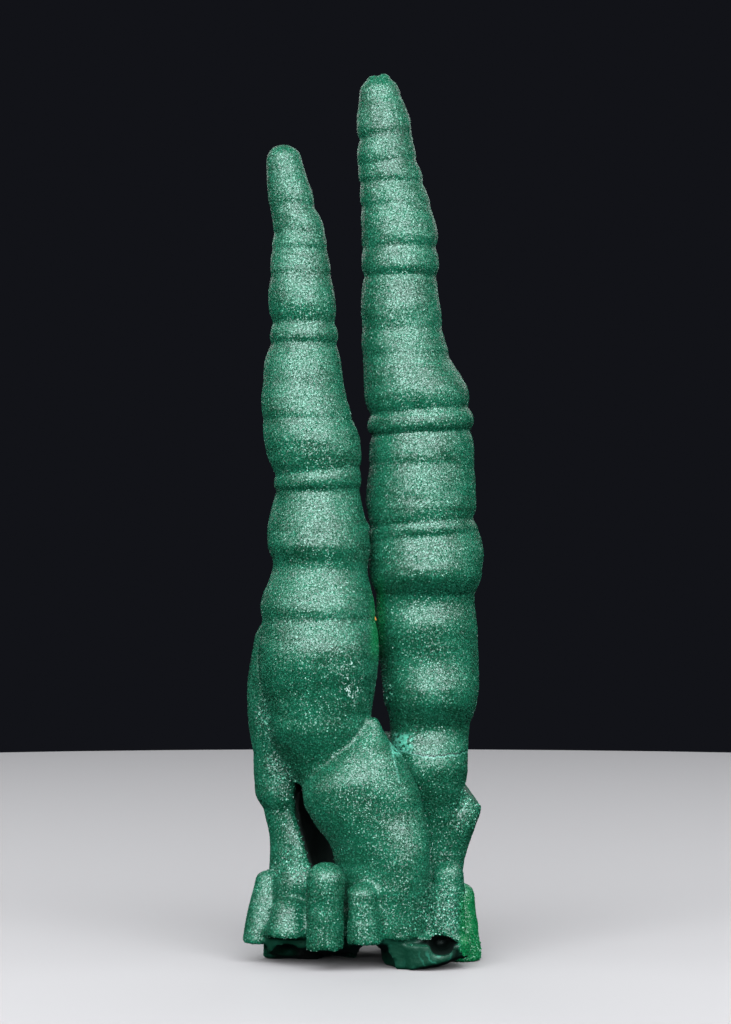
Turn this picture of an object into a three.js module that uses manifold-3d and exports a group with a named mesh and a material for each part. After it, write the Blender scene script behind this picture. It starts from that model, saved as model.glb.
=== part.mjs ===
// A cluster of malachite stalactites that grew together: two tall ringed fingers on a trunk, a side
// column on the left, three lower columns at the back, and short stubs round the foot. Millimetres, +Z
// up, front towards -Y. The origin is the middle of the underside, and the cluster stands on its two
// flat feet at z = 0.

import * as THREE from 'three';
import { mergeVertices } from 'three/addons/utils/BufferGeometryUtils.js';
import Module from 'manifold-3d';

// Driving dimensions.
const TALL_TOP = 177;
const SHORT_TOP = 162;
const TRUNK_TOP = 48.8;
const SIDE_TOP = 68.5;
const ROOT = -3; // columns run this far under the flat feet, and are cut there
const OUT_OF_ROUND = 0.03; // a column is this much wider one way than the other
const WIDEST = 0.33; // a swelling is widest this far up from its lower groove
const SWELLING_STEPS = [0, 0.15, 0.45, 0.8];
const LONG_SWELLING = 15; // one longer than this has its sections evenly spaced
const LONG_STEP = 6; // about how far apart they are

const MALACHITE = { color: 0x2b8a66, roughness: 0.55, metalness: 0 };

// Each column has a course, from the foot up: height, x, y and radius where the shape turns.
// Grooves give height, depth, and slope: how much higher the ring is for each millimetre of x.
const tallFinger = {
  sides: 20,
  top: TALL_TOP,
  course: [
    [ROOT, 12, 5, 7.5],
    [12, 12.4, 5.8, 7.3],
    [20, 12.6, 6, 7.2],
    [28, 12.8, 4.8, 7.2],
    [34, 12.8, 2.4, 7.3],
    [38, 13, 1.4, 7.6],
    [42, 13.2, 2, 7.8],
    [46, 13.4, 3.1, 8.1],
    [51.5, 13.5, 1.4, 8.9],
    [60, 13, 2.6, 9.5],
    [67, 12.5, 1.8, 10],
    [71.5, 12.4, 2.3, 10.2],
    [76.5, 12.4, 0.5, 10.7],
    [81, 12.5, 1.3, 11.1],
    [84.5, 12.2, 1.9, 10.9],
    [87, 11.6, 1.5, 10.5],
    [90, 11.4, 1.4, 10.6],
    [94, 11.5, 1.7, 10.6],
    [102, 11.6, 2, 10.2],
    [114, 10.4, 2, 10],
    [121, 8.3, 2.5, 8.5],
    [130, 7.4, 2.5, 7.7],
    [146, 7.1, 3, 7.3],
    [154, 5.8, 3.5, 6.3],
    [162, 4.5, 3.5, 5.6],
    [168, 3.9, 3.5, 5],
    [TALL_TOP - 4, 3.1, 3.5, 3.9],
  ],
  grooves: [
    [47, 0.6, 0],
    [73, 0.9, 0],
    [87, 0.6, 0.07],
    [98.8, 0.3, 0],
    [105, 0.9, 0.05],
    [109.3, 1, 0.08],
    [120.3, 0.3, 0],
    [125.5, 0.3, 0],
    [136.4, 0.7, 0],
    [142, 0.55, 0],
    [150.3, 0.3, 0],
    [155, 0.45, 0],
    [164.3, 0.5, 0.1],
  ],
};

const shortFinger = {
  sides: 20,
  top: SHORT_TOP,
  course: [
    [31, -5.6, -3.6, 3.8],
    [34, -6.5, -3.2, 5.6],
    [38, -7.6, -3.2, 7.1],
    [42, -8.2, -3.5, 8.6],
    [46.5, -8.7, -4.6, 9.9],
    [50, -8.7, -5, 10.1],
    [54, -8.9, -5.1, 10.8],
    [58, -9, -5.8, 11.4],
    [62, -8.9, -6, 11.6],
    [66, -8.8, -5.4, 11.5],
    [72, -9.1, -4.8, 10.8],
    [77, -8.8, -4.1, 9.6],
    [80, -8.5, -4, 9.3],
    [82.5, -8.8, -4.2, 9.8],
    [86, -9, -3.8, 9.6],
    [92.5, -9, -3.5, 8.6],
    [96.5, -9.1, -4.2, 8.3],
    [99.5, -9.5, -3.9, 8.9],
    [103, -10.1, -4, 9.1],
    [112, -11.7, -3.5, 8],
    [119, -12, -3, 7.2],
    [125, -11.8, -3, 6.4],
    [132, -12.3, -3, 6.4],
    [139, -12.6, -2.5, 5.7],
    [146, -12.9, -2.5, 4.9],
    [153, -14.6, -2.5, 4.1],
    [SHORT_TOP - 3.5, -15.7, -2.5, 3.4],
  ],
  grooves: [
    [49, 0.25, 0],
    [68.1, 0.6, 0],
    [79.9, 0.3, 0],
    [93.6, 0.6, 0.02],
    [97.2, 0.5, 0.1],
    [107.5, 0.45, 0],
    [122.6, 0.6, 0],
    [126.6, 0.6, 0],
    [136, 0.3, 0],
    [141.3, 0.25, 0],
    [149.6, 0.4, 0],
  ],
};

const trunk = {
  sides: 18,
  top: TRUNK_TOP,
  course: [
    [ROOT, 5.2, -6.8, 8.8],
    [5, 4.8, -6.9, 8.4],
    [10, 4.2, -7, 8.2],
    [15, 3.8, -6.8, 8.4],
    [20, 3.2, -6.4, 8.8],
    [24, 2.3, -6.4, 9.3],
    [28, 0.4, -6.3, 10.2],
    [31, -0.8, -6.3, 10.7],
    [34, -1.3, -6.7, 10.6],
    [36.5, -1.1, -7.7, 9.7],
    [40, -0.1, -8.6, 7.4],
    [43.5, 0.7, -8.9, 4.9],
    [TRUNK_TOP - 2.3, 1.3, -8.8, 2.9],
  ],
  grooves: [],
};

const trunkRidge = {
  sides: 14,
  top: TRUNK_TOP - 1.8,
  course: [
    [ROOT, 7.3, -9.4, 4.6],
    [6, 7.3, -9.7, 4.8],
    [12, 7.3, -10.4, 5],
    [17, 7.3, -11.2, 5.2],
    [22, 7.4, -11.3, 5.4],
    [26, 7.1, -10.8, 5.5],
    [30, 6.1, -9.8, 5.6],
    [34, 4.6, -10, 5.8],
    [38, 2.6, -9.4, 5.4],
    [42, 1.8, -8, 4],
    [44.5, 1.5, -7, 2.8],
  ],
  grooves: [],
};

const sideColumn = {
  sides: 14,
  top: SIDE_TOP,
  course: [
    [ROOT, -14, 3, 6],
    [14, -13.8, 3, 5.4],
    [24, -14.2, 3, 4.9],
    [31, -15.8, 3.4, 5.3],
    [36, -16.2, 4, 5.5],
    [48, -16.9, 4, 6],
    [58, -16.8, 3.6, 5.8],
    [SIDE_TOP - 5.5, -16.6, 3, 5.1],
  ],
  grooves: [
    [30, 1, 0],
    [41, 0.5, 0],
  ],
};

const backColumn = {
  sides: 14,
  top: 45,
  course: [
    [ROOT, 3, 9, 8.5],
    [12, 3, 9, 8.2],
    [24, 3.5, 8.5, 7.6],
    [38, 4.2, 7.5, 6.8],
  ],
  grooves: [
    [17, 0.6, 0],
    [29, 0.5, 0.04],
  ],
};

const backLeftColumn = {
  sides: 14,
  top: 34,
  course: [
    [ROOT, -11, 11, 7.4],
    [12, -11, 11, 6.8],
    [27, -11.3, 10.5, 6.3],
  ],
  grooves: [
    [9, 0.5, 0],
    [20, 0.5, 0.05],
  ],
};

const backRightColumn = {
  sides: 14,
  top: 28,
  course: [
    [ROOT, 13.5, 12, 7],
    [10, 13.6, 12, 6.6],
    [22, 14, 11.5, 5.8],
  ],
  grooves: [
    [7, 0.4, 0],
    [16, 0.5, -0.04],
  ],
};

// The ridge low on the right, behind the trunk: it swells and leans out towards its top.
const ridge = {
  sides: 14,
  top: 35.5,
  course: [
    [14, 16, 2.5, 3],
    [22, 17.2, 3.5, 3.6],
    [29, 19.2, 4, 4.6],
    [33, 19, 4, 3],
  ],
  grooves: [],
};

// Posts are plain and round-topped: [x, y] and radius at the shoulder, top, and radius at the foot. The
// foot is set off from the shoulder by the lean, and the round top is as high as the crown says, in
// shoulder radii. A stub with a base above the ground is broken off there.
const backing = [
  { at: [-14, -4.5], top: 9, shoulder: 6, foot: 6.6, base: ROOT, crown: 0.5 }, // under the left stubs
  { at: [-12, 0.4], lean: [-0.9, -1.8], top: 26, shoulder: 3.6, foot: 5.4, base: ROOT }, // apron above them
  { at: [-7.5, -7], top: 13, shoulder: 5, foot: 6.4, base: ROOT, crown: 0.8 }, // between the feet
  { at: [13.1, -10.6], top: 6.6, shoulder: 7.4, foot: 7.6, base: ROOT, crown: 0.22 }, // right foot
];
const stubs = [
  { at: [-19, -0.5], lean: [-1.4, -2.6], top: 18.2, shoulder: 2.6, foot: 3.5, base: 3.9 }, // outer left
  { at: [-14.5, -7.3], lean: [0, -0.8], top: 13.2, shoulder: 3.5, foot: 4.3, base: 5.8, crown: 0.8 }, // left
  { at: [-7.2, -15], lean: [-0.3, 0], top: 21, shoulder: 3.6, foot: 3.4, base: 4.3 }, // front left
  { at: [-0.3, -15.4], lean: [0.5, 0], top: 17.2, shoulder: 3, foot: 3.3, base: 5.3, crown: 0.85 }, // front
  { at: [16.6, -10], lean: [-0.8, -0.3], top: 20.8, shoulder: 2.8, foot: 3.8, base: 5.4 }, // front right
  { at: [19.6, 0], top: 15.5, shoulder: 2.4, foot: 4.2, base: ROOT }, // outer right
];
const POST_SIDES = 12;
const DOME_STEPS = 3; // sections in the round top of a column or a post

// Broken faces, cut before the stubs are joined on. Each is a plane through a point that looks out at
// an azimuth from the front towards the right, and dips below level by the dip, both in degrees.
const breaks = [
  { at: [-13, -11, 4.2], azimuth: 0, dip: 71, reach: 15 }, // left underside
  { at: [12.5, -17, 3], azimuth: 4, dip: 14, reach: 8 }, // front of the right foot
  { at: [9.5, -15, 0], azimuth: 60, dip: 72, reach: 13 }, // its outer corner, underneath
  { at: [22.3, 4, 31.6], azimuth: 78, dip: -38, reach: 4 }, // upper and lower facet of the ridge
  { at: [22.7, 4, 27.4], azimuth: 80, dip: 18, reach: 4 },
];

// Rounded hollows: the middle and the three half sizes of each.
const pockets = [
  { at: [1.2, 0, 0], reach: [2.5, 60, 5.4] }, // gutter that runs from front to back between the feet
  { at: [3.6, -20, -1.5], reach: [3.2, 14, 6.2] }, // its wider mouth at the front
  { at: [15.2, -14.5, 4.9], reach: [2.5, 6, 2] }, // mouth of a hollow core in the right foot
  { at: [-15, -8, 1.4], reach: [3.2, 7, 3.2] }, // under the left foot
  { at: [-12.6, 0, 32.5], reach: [1, 6, 3.4] }, // three gaps between the trunk and the side column
  { at: [-10.6, 2, 28], reach: [1.7, 9, 4.6] },
  { at: [-8.2, 1.5, 22.2], reach: [2.6, 10.5, 5.2] },
];
const POCKET_SIDES = 12;
const GROUND_SIZE = 120;

const wasm = await Module();
wasm.setup();

/** Turns a closed geometry into a solid. */
function solidOf(geometry) {
  const plain = geometry.clone();
  for (const name of Object.keys(plain.attributes)) {
    if (name !== 'position') plain.deleteAttribute(name);
  }
  const merged = mergeVertices(plain, 1e-4);
  return new wasm.Manifold(new wasm.Mesh({
    numProp: 3,
    vertProperties: new Float32Array(merged.attributes.position.array),
    triVerts: new Uint32Array(merged.index.array),
  }));
}

/** Turns a solid back into a geometry. */
function geometryOf(solid) {
  const mesh = solid.getMesh();
  const geometry = new THREE.BufferGeometry();
  geometry.setAttribute('position', new THREE.BufferAttribute(mesh.vertProperties, 3));
  geometry.setIndex(new THREE.BufferAttribute(mesh.triVerts, 1));
  return geometry;
}

/** Gives x, y and radius at any height of a course. */
function courseCurve(course) {
  const heights = course.map((section) => section[0]);
  const values = course.flatMap((section) => section.slice(1));
  const curve = new THREE.CubicInterpolant(heights, values, 3);
  return (z) => Array.from(curve.evaluate(THREE.MathUtils.clamp(z, heights[0], heights.at(-1))));
}

/** How far the surface stands out between two grooves: 0 in a groove, 1 where it is widest. */
function swelling(rise) {
  const reach = rise < WIDEST ? (WIDEST - rise) / WIDEST : (rise - WIDEST) / (1 - WIDEST);
  return 1 - reach * reach;
}

/** The sections of a column from the foot up: height, how far it is drawn in, and slope. */
function sectionLevels({ course, grooves }) {
  const edges = [[course[0][0], 0, 0], ...grooves, [course.at(-1)[0], 0, 0]];
  const levels = [];
  for (let i = 0; i < edges.length - 1; i += 1) {
    const [z0, depth0, slope0] = edges[i];
    const [z1, depth1, slope1] = edges[i + 1];
    const count = Math.round((z1 - z0) / LONG_STEP);
    const even = Array.from({ length: count }, (_, k) => k / count);
    for (const rise of z1 - z0 > LONG_SWELLING ? even : SWELLING_STEPS) {
      levels.push({
        z: THREE.MathUtils.lerp(z0, z1, rise),
        inset: THREE.MathUtils.lerp(depth0, depth1, rise) * (1 - swelling(rise)),
        slope: THREE.MathUtils.lerp(slope0, slope1, rise),
      });
    }
  }
  return levels;
}

/** Every ring of a column: its middle, height, radius and slope, with the round top's rings last. */
function columnRings(column) {
  const at = courseCurve(column.course);
  const rings = sectionLevels(column).map(({ z, inset, slope }) => {
    const [x, y, radius] = at(z);
    return { x, y, z, radius: radius - inset, slope };
  });
  const end = column.course.at(-1)[0];
  const [x, y, radius] = at(end);
  for (let i = 0; i < DOME_STEPS; i += 1) {
    const angle = (i / DOME_STEPS) * (Math.PI / 2);
    const z = end + (column.top - end) * Math.sin(angle);
    rings.push({ x, y, z, radius: radius * Math.cos(angle), slope: 0 });
  }
  return rings;
}

/** A closed column: its rings joined by a skin, with a flat foot and a point at the very top. */
function columnGeometry(column) {
  const rings = columnRings(column);
  const sides = column.sides;
  const points = [];
  for (const { x, y, z, radius, slope } of rings) {
    for (let i = 0; i < sides; i += 1) {
      const angle = (i / sides) * 2 * Math.PI;
      const reach = radius * (1 + OUT_OF_ROUND * Math.cos(2 * angle));
      const side = reach * Math.cos(angle);
      points.push(x + side, y + reach * Math.sin(angle), z + slope * side);
    }
  }
  const foot = points.length / 3;
  const first = rings[0];
  const last = rings.at(-1);
  points.push(first.x, first.y, first.z, last.x, last.y, column.top);
  const faces = [];
  const topRing = (rings.length - 1) * sides;
  for (let i = 0; i < sides; i += 1) {
    const next = (i + 1) % sides;
    faces.push(foot, next, i);
    faces.push(foot + 1, topRing + i, topRing + next);
    for (let row = 0; row < topRing; row += sides) {
      faces.push(row + i, row + next, row + sides + next);
      faces.push(row + i, row + sides + next, row + sides + i);
    }
  }
  const geometry = new THREE.BufferGeometry();
  geometry.setAttribute('position', new THREE.Float32BufferAttribute(points, 3));
  geometry.setIndex(faces);
  return geometry;
}

/** A post, written as a column without grooves. */
function postColumn({ at: [x, y], lean = [0, 0], top, shoulder, foot, base, crown = 1 }) {
  const course = [
    [base, x + lean[0], y + lean[1], foot],
    [top - crown * shoulder, x, y, shoulder],
  ];
  return { sides: POST_SIDES, top, course, grooves: [] };
}

/** A block that takes away everything past a broken face, within its reach. */
function breakGeometry({ at, azimuth, dip, reach }) {
  const { degToRad } = THREE.MathUtils;
  const turn = new THREE.Euler(degToRad(90 + dip), 0, degToRad(azimuth), 'ZXY');
  const block = new THREE.BoxGeometry(2 * reach, 2 * reach, reach);
  block.translate(0, 0, reach / 2);
  block.applyMatrix4(new THREE.Matrix4().makeRotationFromEuler(turn));
  return block.translate(...at);
}

/** A rounded hollow: a ball stretched to its three half sizes. */
function pocketGeometry({ at, reach }) {
  const ball = new THREE.SphereGeometry(1, POCKET_SIDES, POCKET_SIDES / 2);
  return ball.scale(...reach).translate(...at);
}

/** Takes some geometries away from a solid. */
function without(solid, geometries) {
  return geometries.reduce((left, geometry) => left.subtract(solidOf(geometry)), solid);
}

/** The whole cluster as one solid. */
function clusterGeometry() {
  const columns = [
    tallFinger, shortFinger, trunk, trunkRidge, sideColumn, backColumn, backLeftColumn, backRightColumn,
    ridge, ...backing.map(postColumn),
  ];
  const joined = (growths) => growths.map(columnGeometry).map(solidOf).reduce((a, b) => a.add(b));
  const body = without(joined(columns), breaks.map(breakGeometry));
  const ground = new THREE.BoxGeometry(GROUND_SIZE, GROUND_SIZE, GROUND_SIZE);
  ground.translate(0, 0, -GROUND_SIZE / 2);
  const solid = without(body.add(joined(stubs.map(postColumn))), [...pockets.map(pocketGeometry), ground]);
  const geometry = geometryOf(solid);
  geometry.computeBoundingBox();
  const middle = geometry.boundingBox.getCenter(new THREE.Vector3());
  geometry.translate(-middle.x, -middle.y, 0);
  return geometry;
}

const malachite = new THREE.Mesh(clusterGeometry(), new THREE.MeshStandardMaterial(MALACHITE));
malachite.name = 'malachite';

const specimen = new THREE.Group();
specimen.add(malachite);

export default specimen;
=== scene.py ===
"""A cluster of malachite stalactites with a velvety crystal skin, in metres, +Z up, front towards -Y."""

import logging
import math
from collections.abc import Callable
from dataclasses import dataclass
from enum import Enum
from functools import cache

import bmesh
import bpy
import numpy as np
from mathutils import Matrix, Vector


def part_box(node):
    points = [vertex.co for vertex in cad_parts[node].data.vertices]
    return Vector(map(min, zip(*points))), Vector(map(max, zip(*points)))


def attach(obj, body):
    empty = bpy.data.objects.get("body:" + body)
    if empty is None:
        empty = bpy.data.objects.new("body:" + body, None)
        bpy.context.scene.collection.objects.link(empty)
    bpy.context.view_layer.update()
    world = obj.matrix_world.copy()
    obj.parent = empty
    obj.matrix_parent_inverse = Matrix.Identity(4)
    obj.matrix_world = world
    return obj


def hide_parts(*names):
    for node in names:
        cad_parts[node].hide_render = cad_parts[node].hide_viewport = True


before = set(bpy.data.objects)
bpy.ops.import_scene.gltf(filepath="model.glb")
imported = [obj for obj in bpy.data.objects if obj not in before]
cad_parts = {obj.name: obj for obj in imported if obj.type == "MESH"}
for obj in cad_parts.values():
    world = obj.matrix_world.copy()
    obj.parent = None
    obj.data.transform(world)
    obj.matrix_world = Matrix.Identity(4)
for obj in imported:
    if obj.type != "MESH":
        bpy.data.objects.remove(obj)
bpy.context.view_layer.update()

import openvdb
from mathutils import Vector, noise

NODE = "malachite"
BODY = "root"

# The growths are drawn in millimetres on a specimen of this height. UNIT is one drawn millimetre in
# metres, and the middle of the drawn cluster stands on the middle of the frame.
DRAWN_HEIGHT = 177.0
DRAWN_MIDDLE = (-0.1, 0.0)
FRAME_LOW, FRAME_HIGH = (Vector(corner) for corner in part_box(NODE))
HEIGHT = FRAME_HIGH.z - FRAME_LOW.z
UNIT = HEIGHT / DRAWN_HEIGHT
ORIGIN = Vector((
    (FRAME_LOW.x + FRAME_HIGH.x) / 2.0 - DRAWN_MIDDLE[0] * UNIT,
    (FRAME_LOW.y + FRAME_HIGH.y) / 2.0 - DRAWN_MIDDLE[1] * UNIT,
    FRAME_LOW.z,
))

log = logging.getLogger("malachite")

Array = np.ndarray
Socket = bpy.types.NodeSocket
Colour = tuple[float, float, float]
Place = tuple[float, float, float]
Section = tuple[float, float, float, float]
Grid = tuple[Array, Array, Array]


class Mask(Enum):
    """Measures stored on the stone's surface, each from 0 to 1."""

    BROKEN = "broken"
    COARSE = "coarse"
    # How near a place is to the bottom of a deep groove, for the shade painted into the grooves.
    FURROW_SHADE = "furrow_shade"


class Zone(Enum):
    """Stretches of the cluster whose fine crystals are made as one piece each."""

    TALL_UPPER = "crystals_tall_upper"
    TALL_LOWER = "crystals_tall_lower"
    SHORT_UPPER = "crystals_short_upper"
    SHORT_LOWER = "crystals_short_lower"
    TRUNK = "crystals_trunk"
    SIDE = "crystals_side"
    FRONT_STUBS = "crystals_front_stubs"
    BACK = "crystals_back"


# ---- Noise and small helpers ----


def lattice_noise(points: Array, size: float | Place, seed: int) -> Array:
    """Smooth noise from random values on a lattice.

    Args:
        points: N by 3 places, in drawn millimetres.
        size: Spacing of the lattice, in drawn millimetres, the same or one for each axis.
        seed: Seed for the random values.

    Returns:
        One value from -1 to 1 for each place.
    """
    cells = 32
    values = np.random.default_rng(seed).uniform(-1.0, 1.0, (cells, cells, cells))
    place = points / np.array(size)
    corner = np.floor(place).astype(int)
    part = place - corner
    part = part * part * (3.0 - 2.0 * part)
    total = np.zeros(len(points))
    for step in np.ndindex(2, 2, 2):
        offset = np.array(step)
        weight = np.prod(np.where(offset, part, 1.0 - part), axis=1)
        index = (corner + offset) % cells
        total += weight * values[index[:, 0], index[:, 1], index[:, 2]]
    return total


def smoothstep(low: float, high: float, value: Array) -> Array:
    """Moves smoothly from 0 at low to 1 at high."""
    t = np.clip((value - low) / (high - low), 0.0, 1.0)
    return t * t * (3.0 - 2.0 * t)


def soft_union(a: Array, b: Array, fillet: float) -> Array:
    """Joins two distance fields with a fillet in the corner between them."""
    near = np.maximum(fillet - np.abs(a - b), 0.0) / fillet
    return np.minimum(a, b) - near * near * fillet / 4.0


def rows_of(axis: Array, rows: Array) -> Array:
    """The chosen rows of a coordinate, or all of it where it is the same in every row."""
    return axis[..., rows] if axis.shape[-1] > 1 else axis


def outer_skin(points: Array, quads: Array) -> tuple[Array, Array]:
    """Keeps the largest closed skin of a mesh, without the sealed bubbles between growths.

    Args:
        points: The vertices.
        quads: The faces, as four vertex numbers each.

    Returns:
        The vertices and faces that are kept.
    """
    label = np.arange(len(points))
    changed = True
    while changed:
        lowest = label.copy()
        np.minimum.at(lowest, quads.ravel(), np.repeat(label[quads].min(axis=1), 4))
        lowest = lowest[lowest]
        changed = np.any(lowest != label)
        label = lowest
    skins, sizes = np.unique(label[quads[:, 0]], return_counts=True)
    quads = quads[label[quads[:, 0]] == skins[np.argmax(sizes)]]
    used = np.unique(quads)
    return points[used], np.searchsorted(used, quads)


def to_frame(points: Array) -> Array:
    """Turns drawn millimetres into metres in the frame."""
    return points * UNIT + np.array(ORIGIN)


def spot(x: float, y: float, z: float) -> Vector:
    """One drawn place in metres in the frame."""
    return Vector((x, y, z)) * UNIT + ORIGIN


def facing(azimuth: float, elevation: float) -> Place:
    """The way out at an azimuth from the front towards the right, and an elevation, in degrees."""
    turn, rise = math.radians(azimuth), math.radians(elevation)
    return math.sin(turn) * math.cos(rise), -math.cos(turn) * math.cos(rise), math.sin(rise)


def add_object(name: str, data: bpy.types.ID) -> bpy.types.Object:
    """Makes an object from its data and puts it in the scene."""
    made = bpy.data.objects.new(name, data)
    bpy.context.collection.objects.link(made)
    return made


# ---- How the growths are described ----


@dataclass(frozen=True)
class Groove:
    """The groove line under a growth ring.

    The slope is its rise for each millimetre of x. The lean makes it deeper to the right and
    shallower to the left where it is above zero, and the other way where it is below.
    """

    height: float
    depth: float
    slope: float = 0.0
    lean: float = 0.0


@dataclass(frozen=True)
class Column:
    """One stalactite, drawn from the foot up.

    The course gives height, x, y and radius where the shape turns. Between grooves the wall swells,
    and is widest at a part of the way up from the lower groove.
    """

    top: float
    course: tuple[Section, ...]
    grooves: tuple[Groove, ...] = ()
    fillet: float = 1.2
    out_of_round: float = 0.03
    widest: float = 0.33
    underside_power: float = 1.8
    shoulder_power: float = 2.6

    def along(self, z: Array) -> tuple[Array, Array, Array]:
        """Follows the course on a smooth curve.

        Args:
            z: Heights.

        Returns:
            The x and y of the middle, and the radius, at each height.
        """
        table = np.array(self.course)
        heights, values = table[:, 0], table[:, 1:]
        slopes = np.gradient(values, heights, axis=0)
        z = np.clip(z, heights[0], heights[-1])
        i = np.clip(np.searchsorted(heights, z, side="right") - 1, 0, len(heights) - 2)
        span = (heights[i + 1] - heights[i])[:, None]
        t = (z - heights[i])[:, None] / span
        curve = (
            (2 * t**3 - 3 * t**2 + 1) * values[i]
            + (t**3 - 2 * t**2 + t) * span * slopes[i]
            + (3 * t**2 - 2 * t**3) * values[i + 1]
            + (t**3 - t**2) * span * slopes[i + 1]
        )
        return curve[:, 0], curve[:, 1], curve[:, 2]

    def level(self, side: Array, z: Array) -> Array:
        """Heights measured along the rings, which may slope."""
        if not self.grooves:
            return z + 0.0 * side
        return z - np.interp(z, [g.height for g in self.grooves], [g.slope for g in self.grooves]) * side

    def drawn_in(self, level: Array, turn: Array) -> Array:
        """How far the wall is drawn in from its widest.

        Args:
            level: Heights, measured along the rings.
            turn: 1 at the right of the column, 0 at the front and back, -1 at the left.

        Returns:
            The inset.
        """
        if not self.grooves:
            return np.zeros_like(level)
        edges = np.array([self.course[0][0], *(g.height for g in self.grooves), self.course[-1][0]])
        depths = np.array([0.0, *(g.depth for g in self.grooves), 0.0])
        leans = np.array([0.0, *(g.lean for g in self.grooves), 0.0])
        i = np.clip(np.searchsorted(edges, level, side="right") - 1, 0, len(edges) - 2)
        rise = np.clip((level - edges[i]) / (edges[i + 1] - edges[i]), 0.0, 1.0)
        under = np.clip(1.0 - rise / self.widest, 0.0, 1.0) ** self.underside_power
        over = np.clip((rise - self.widest) / (1.0 - self.widest), 0.0, 1.0) ** self.shoulder_power
        lower = depths[i] * np.maximum(1.0 + leans[i] * turn, 0.0)
        upper = depths[i + 1] * np.maximum(1.0 + leans[i + 1] * turn, 0.0)
        return lower * under + upper * over

    def distance(self, x: Array, y: Array, z: Array) -> Array:
        """Signed distance to the wall, negative inside, near enough for joining growths.

        Args:
            x: Places across, in a shape that broadcasts with z.
            y: Places from front to back, in a shape that broadcasts with z.
            z: Heights, a flat array.

        Returns:
            The distance at every place.
        """
        end = self.course[-1][0]
        middle_x, middle_y, radius = self.along(z)
        side = x - middle_x
        back = y - middle_y
        reach = np.maximum(np.hypot(side, back), 1e-6)
        inset = self.drawn_in(self.level(side, z), side / reach)
        oval = 1.0 + self.out_of_round * (side**2 - back**2) / reach**2
        steepness = np.hypot(1.0, (self.along(z + 0.5)[2] - self.along(z - 0.5)[2]))
        wall = (reach - (radius - inset) * oval) / steepness
        dome = self.top - end
        above = np.maximum(z - end, 0.0) / dome
        cap = (np.hypot(reach / (radius * oval), above) - 1.0) * min(self.course[-1][3], dome)
        return np.where(z > end, cap, wall)

    def furrow_shade(self, x: Array, z: Array, reach: float = 0.7, deep: float = 0.8) -> Array:
        """How near each place is to the bottom of a deep groove, from 0 to 1, for the shade painted into the
        grooves.
        """
        if not self.grooves:
            return np.zeros_like(z)
        level = self.level(x - self.along(z)[0], z)
        gaps = level[:, None] - np.array([g.height for g in self.grooves])
        weights = np.array([min(g.depth / deep, 1.0) for g in self.grooves])
        return np.max(weights * np.exp(-((gaps / reach) ** 2)), axis=1)


@dataclass(frozen=True)
class Stub:
    """A short round-topped post. Its base is where it is broken off, or below the ground."""

    at: tuple[float, float]
    top: float
    shoulder: float
    foot: float
    base: float
    fillet: float = 0.7
    lean: tuple[float, float] = (0.0, 0.0)
    crown: float = 1.0
    buried: float = 4.0

    def column(self) -> Column:
        """The stub written as a column without grooves."""
        x, y = self.at
        neck = self.top - self.crown * self.shoulder
        start = self.base - self.buried
        waist = (self.base + neck) / 2.0
        course = (
            (start, x - self.lean[0], y - self.lean[1], self.foot),
            (waist, x - 0.4 * self.lean[0], y - 0.4 * self.lean[1], 0.5 * (self.foot + self.shoulder)),
            (neck, x, y, self.shoulder),
        )
        return Column(self.top, course, fillet=self.fillet)


@dataclass(frozen=True)
class Nub:
    """A small round bump: its middle and its radius."""

    at: Place
    radius: float
    fillet: float = 0.8

    def distance(self, x: Array, y: Array, z: Array) -> Array:
        """Signed distance to the bump, negative inside."""
        return np.sqrt((x - self.at[0]) ** 2 + (y - self.at[1]) ** 2 + (z - self.at[2]) ** 2) - self.radius


@dataclass(frozen=True)
class Break:
    """A broken face: everything past a plane is gone, within a reach of the plane's own point.

    The face looks out at an azimuth from the front towards the right, and dips below level by the
    dip, both in degrees. It wanders by its roughness over a span, and by a share of it over a finer one.
    """

    at: Place
    azimuth: float
    dip: float
    reach: float
    roughness: float
    seed: int
    span: float = 5.0
    fine_span: float = 1.8
    fine_share: float = 0.4

    def distance(self, points: Array) -> Array:
        """Signed distance to what is gone, negative inside it, at N by 3 places."""
        offset = points - np.array(self.at)
        past = -offset @ np.array(facing(self.azimuth, -self.dip))
        past += self.roughness * lattice_noise(points, self.span, self.seed)
        fine = np.abs(lattice_noise(points, self.fine_span, self.seed + 1))
        past += self.fine_share * self.roughness * fine
        return np.maximum(past, np.linalg.norm(offset, axis=1) - self.reach)


@dataclass(frozen=True)
class BareFoot:
    """Where the crust of crystals has broken away, round the front of the foot.

    Under a ragged lip the stone is set back to its dark inside, more so lower down. The lip sinks
    below the ground towards the back and past the right-hand side.
    """

    lip: float
    ragged: float
    depth: float
    undercut: float
    back: tuple[float, float]
    right: tuple[float, float]
    sunk: float = 1.0
    tooth: Place = (1.7, 1.7, 8.5)
    pitting: float = 0.3
    pit_span: float = 3.5
    seeds: tuple[int, int] = (61, 62)

    def distance(self, points: Array, skin: Array) -> Array:
        """Signed distance to the lost crust, negative inside it.

        Args:
            points: N by 3 places.
            skin: Distance from the skin at each place.

        Returns:
            One distance for each place.
        """
        x, y, z = points.T
        lip = self.lip * smoothstep(*self.back, y) * smoothstep(*self.right, x)
        lip = lip - self.sunk + self.ragged * lattice_noise(points, self.tooth, self.seeds[0])
        depth = self.depth + self.undercut * np.maximum(lip - z, 0.0)
        depth += self.pitting * lattice_noise(points, self.pit_span, self.seeds[1])
        return np.maximum(z - lip, -skin - depth)


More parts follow.
